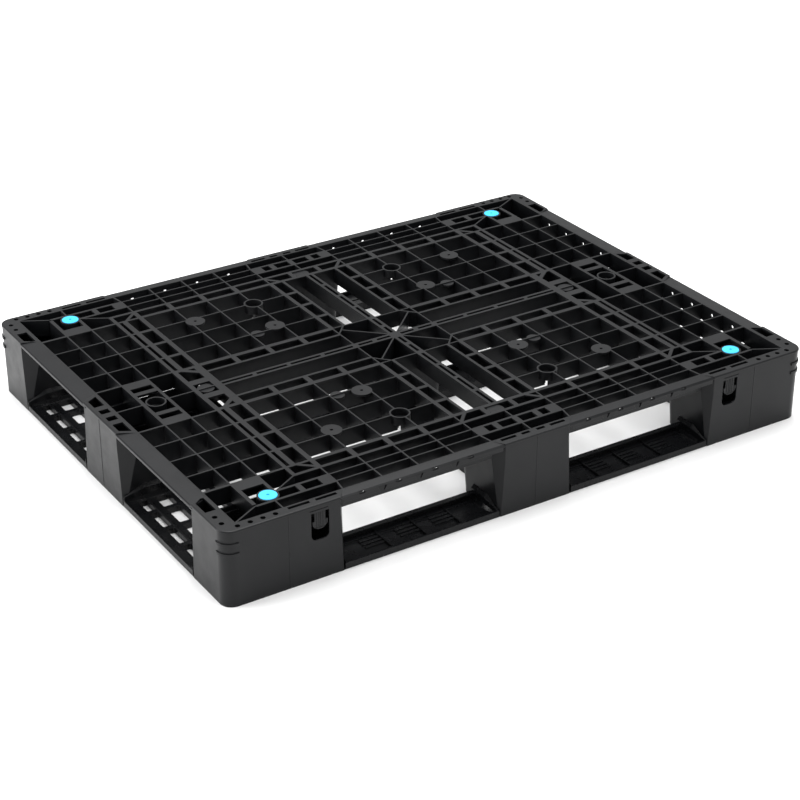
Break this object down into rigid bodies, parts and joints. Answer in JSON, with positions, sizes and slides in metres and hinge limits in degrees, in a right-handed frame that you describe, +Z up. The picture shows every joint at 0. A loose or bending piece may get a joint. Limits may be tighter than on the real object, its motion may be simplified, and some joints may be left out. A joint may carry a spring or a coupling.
{
  "type": "plastic pallet",
  "caption": "Four-way plastic pallet: a ribbed open deck on hollow legs over a perimeter base, with rubber anti-slip grommets in the deck corners.",
  "frame": {"origin": "on the floor, under the centre of the pallet's outline", "axes": "+X along the 1200 mm length, +Y across the 900 mm width, +Z up; the side with the nearer long face in the picture faces -Y"},
  "size_m": [1.2, 0.9, 0.141],
  "materials": {
    "deck_plastic": "satin moulded polypropylene, near black",
    "base_plastic": "satin moulded polypropylene, near black",
    "grommet_rubber": "smooth bright blue rubber"
  },
  "bodies": {
    "root": {"deck_grid": "deck_plastic", "leg_front_left": "deck_plastic", "leg_front_mid": "deck_plastic", "leg_front_right": "deck_plastic", "leg_mid_left": "deck_plastic", "leg_centre": "deck_plastic", "leg_mid_right": "deck_plastic", "leg_back_left": "deck_plastic", "leg_back_mid": "deck_plastic", "leg_back_right": "deck_plastic", "rim_front_left": "deck_plastic", "rim_left_front": "deck_plastic", "rim_front_right": "deck_plastic", "rim_right_front": "deck_plastic", "rim_back_left": "deck_plastic", "rim_left_back": "deck_plastic", "rim_back_right": "deck_plastic", "rim_right_back": "deck_plastic", "foot_front_left": "base_plastic", "foot_front_mid": "base_plastic", "foot_front_right": "base_plastic", "foot_mid_left": "base_plastic", "foot_centre": "base_plastic", "foot_mid_right": "base_plastic", "foot_back_left": "base_plastic", "foot_back_mid": "base_plastic", "foot_back_right": "base_plastic", "board_front_left": "base_plastic", "board_left_front": "base_plastic", "board_front_right": "base_plastic", "board_right_front": "base_plastic", "board_back_left": "base_plastic", "board_left_back": "base_plastic", "board_back_right": "base_plastic", "board_right_back": "base_plastic", "board_centre_left": "base_plastic", "board_centre_right": "base_plastic", "board_centre_front": "base_plastic", "board_centre_back": "base_plastic", "grommet_front_left": "grommet_rubber", "grommet_front_right": "grommet_rubber", "grommet_back_left": "grommet_rubber", "grommet_back_right": "grommet_rubber"}
  },
  "joints": []
}
